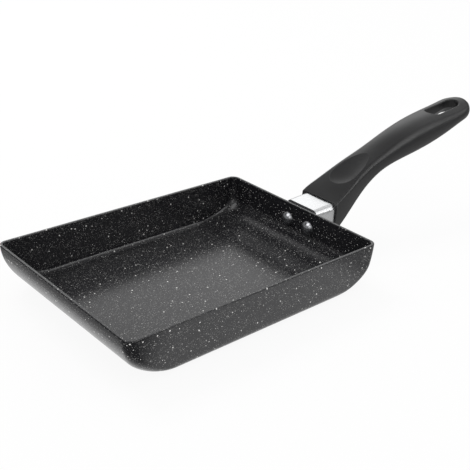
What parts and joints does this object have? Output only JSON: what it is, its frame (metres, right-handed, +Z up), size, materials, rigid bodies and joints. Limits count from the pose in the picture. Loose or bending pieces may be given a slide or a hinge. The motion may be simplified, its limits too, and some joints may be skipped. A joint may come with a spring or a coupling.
{
  "type": "tamagoyaki pan",
  "caption": "Small rectangular non-stick omelette pan with low walls, a riveted bright flame guard and a long upswept moulded handle with a hanging hole.",
  "frame": {"origin": "on the underside of the pan's floor, straight below the middle of the rim", "axes": "+X along the length of the pan towards the handle, +Y across the pan, +Z up; the pan rests on Z=0"},
  "size_m": [0.3442, 0.13, 0.0757],
  "materials": {
    "coated_pan": "satin black non-stick coat with fine pale speckles on 2 mm aluminium",
    "bare_aluminium": "satin",
    "cast_bracket": "as cast, dull",
    "polished_guard": "drawn and polished",
    "moulded_grip": "moulded phenolic resin, satin",
    "zinc_steel": "zinc plated"
  },
  "bodies": {
    "root": {"pan_body": "coated_pan", "rivet_left": "bare_aluminium", "rivet_right": "bare_aluminium", "handle_bracket": "cast_bracket", "flame_guard": "polished_guard", "grip": "moulded_grip", "flat_washer": "zinc_steel", "spring_washer": "zinc_steel", "tie_screw": "zinc_steel"}
  },
  "joints": []
}
